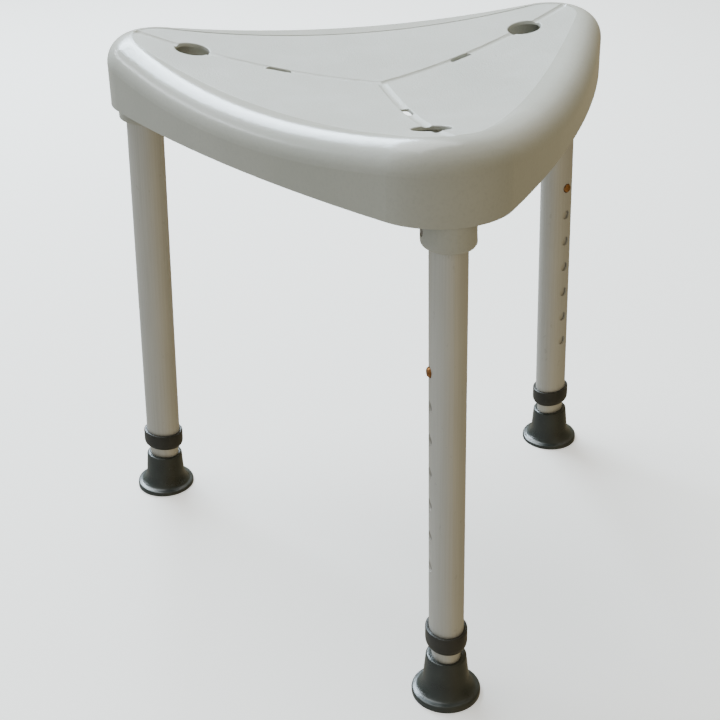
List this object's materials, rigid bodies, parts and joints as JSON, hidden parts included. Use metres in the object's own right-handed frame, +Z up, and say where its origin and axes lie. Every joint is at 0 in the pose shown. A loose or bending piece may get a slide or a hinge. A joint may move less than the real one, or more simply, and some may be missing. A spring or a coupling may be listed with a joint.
{
  "type": "shower stool",
  "caption": "Shower stool: dished, rounded-triangle plastic seat with drain grooves and hand holes, on splayed height-adjustable tube legs with flared rubber feet.",
  "frame": {"origin": "on the floor, on the axis that the three legs share, with the legs at their lowest setting", "axes": "+Z up; -Y towards the front corner of the seat; the other two corners are 120 degrees round"},
  "size_m": [0.4252, 0.3881, 0.4226],
  "materials": {
    "seat_plastic": "semi-gloss moulded plastic, stippled on the sitting surface",
    "leg_tube": "satin anodised, warm grey",
    "inner_tube": "satin anodised",
    "black_plastic": "moulded, semi-matt",
    "black_rubber": "moulded, slight sheen",
    "nylon": "natural nylon",
    "zinc_steel": "zinc plated",
    "spring_steel": "tempered strip",
    "brass_button": "turned, tarnished"
  },
  "bodies": {
    "seat": {"seat_shell": "seat_plastic", "outer_tube_front": "leg_tube", "end_collar_front": "black_plastic", "socket_spring_front": "spring_steel", "outer_tube_right": "leg_tube", "end_collar_right": "black_plastic", "socket_spring_right": "spring_steel", "outer_tube_left": "leg_tube", "end_collar_left": "black_plastic", "socket_spring_left": "spring_steel"},
    "leg_front": {"inner_tube_front": "inner_tube", "glide_plug_front": "nylon", "foot_washer_front": "zinc_steel", "rubber_foot_front": "black_rubber", "adjust_spring_front": "spring_steel"},
    "adjust_button_front": {"adjust_button_front": "brass_button"},
    "socket_button_front": {"socket_button_front": "spring_steel"},
    "leg_right": {"inner_tube_right": "inner_tube", "glide_plug_right": "nylon", "foot_washer_right": "zinc_steel", "rubber_foot_right": "black_rubber", "adjust_spring_right": "spring_steel"},
    "adjust_button_right": {"adjust_button_right": "brass_button"},
    "socket_button_right": {"socket_button_right": "spring_steel"},
    "leg_left": {"inner_tube_left": "inner_tube", "glide_plug_left": "nylon", "foot_washer_left": "zinc_steel", "rubber_foot_left": "black_rubber", "adjust_spring_left": "spring_steel"},
    "adjust_button_left": {"adjust_button_left": "brass_button"},
    "socket_button_left": {"socket_button_left": "spring_steel"}
  },
  "joints": [
    {"name": "leg_height_front", "type": "slide", "parent": "seat", "child": "leg_front", "axis": [0, -0.0419, -0.9991], "range_m": [0, 0.1524]},
    {"name": "adjust_press_front", "type": "slide", "parent": "leg_front", "child": "adjust_button_front", "axis": [1, 0, 0], "range_m": [0, 0.0038], "stiffness_N_per_m": 700, "springref_m": -0.003, "deforming": ["adjust_spring_front"]},
    {"name": "socket_press_front", "type": "slide", "parent": "seat", "child": "socket_button_front", "axis": [1, 0, 0], "range_m": [0, 0.0059], "stiffness_N_per_m": 700, "springref_m": -0.003, "deforming": ["socket_spring_front"]},
    {"name": "leg_height_right", "type": "slide", "parent": "seat", "child": "leg_right", "axis": [0.0363, 0.0209, -0.9991], "range_m": [0, 0.1524]},
    {"name": "adjust_press_right", "type": "slide", "parent": "leg_right", "child": "adjust_button_right", "axis": [-0.5, 0.866, 0], "range_m": [0, 0.0038], "stiffness_N_per_m": 700, "springref_m": -0.003, "deforming": ["adjust_spring_right"]},
    {"name": "socket_press_right", "type": "slide", "parent": "seat", "child": "socket_button_right", "axis": [-0.5, 0.866, 0], "range_m": [0, 0.0059], "stiffness_N_per_m": 700, "springref_m": -0.003, "deforming": ["socket_spring_right"]},
    {"name": "leg_height_left", "type": "slide", "parent": "seat", "child": "leg_left", "axis": [-0.0363, 0.0209, -0.9991], "range_m": [0, 0.1524]},
    {"name": "adjust_press_left", "type": "slide", "parent": "leg_left", "child": "adjust_button_left", "axis": [-0.5, -0.866, 0], "range_m": [0, 0.0038], "stiffness_N_per_m": 700, "springref_m": -0.003, "deforming": ["adjust_spring_left"]},
    {"name": "socket_press_left", "type": "slide", "parent": "seat", "child": "socket_button_left", "axis": [-0.5, -0.866, 0], "range_m": [0, 0.0059], "stiffness_N_per_m": 700, "springref_m": -0.003, "deforming": ["socket_spring_left"]}
  ]
}
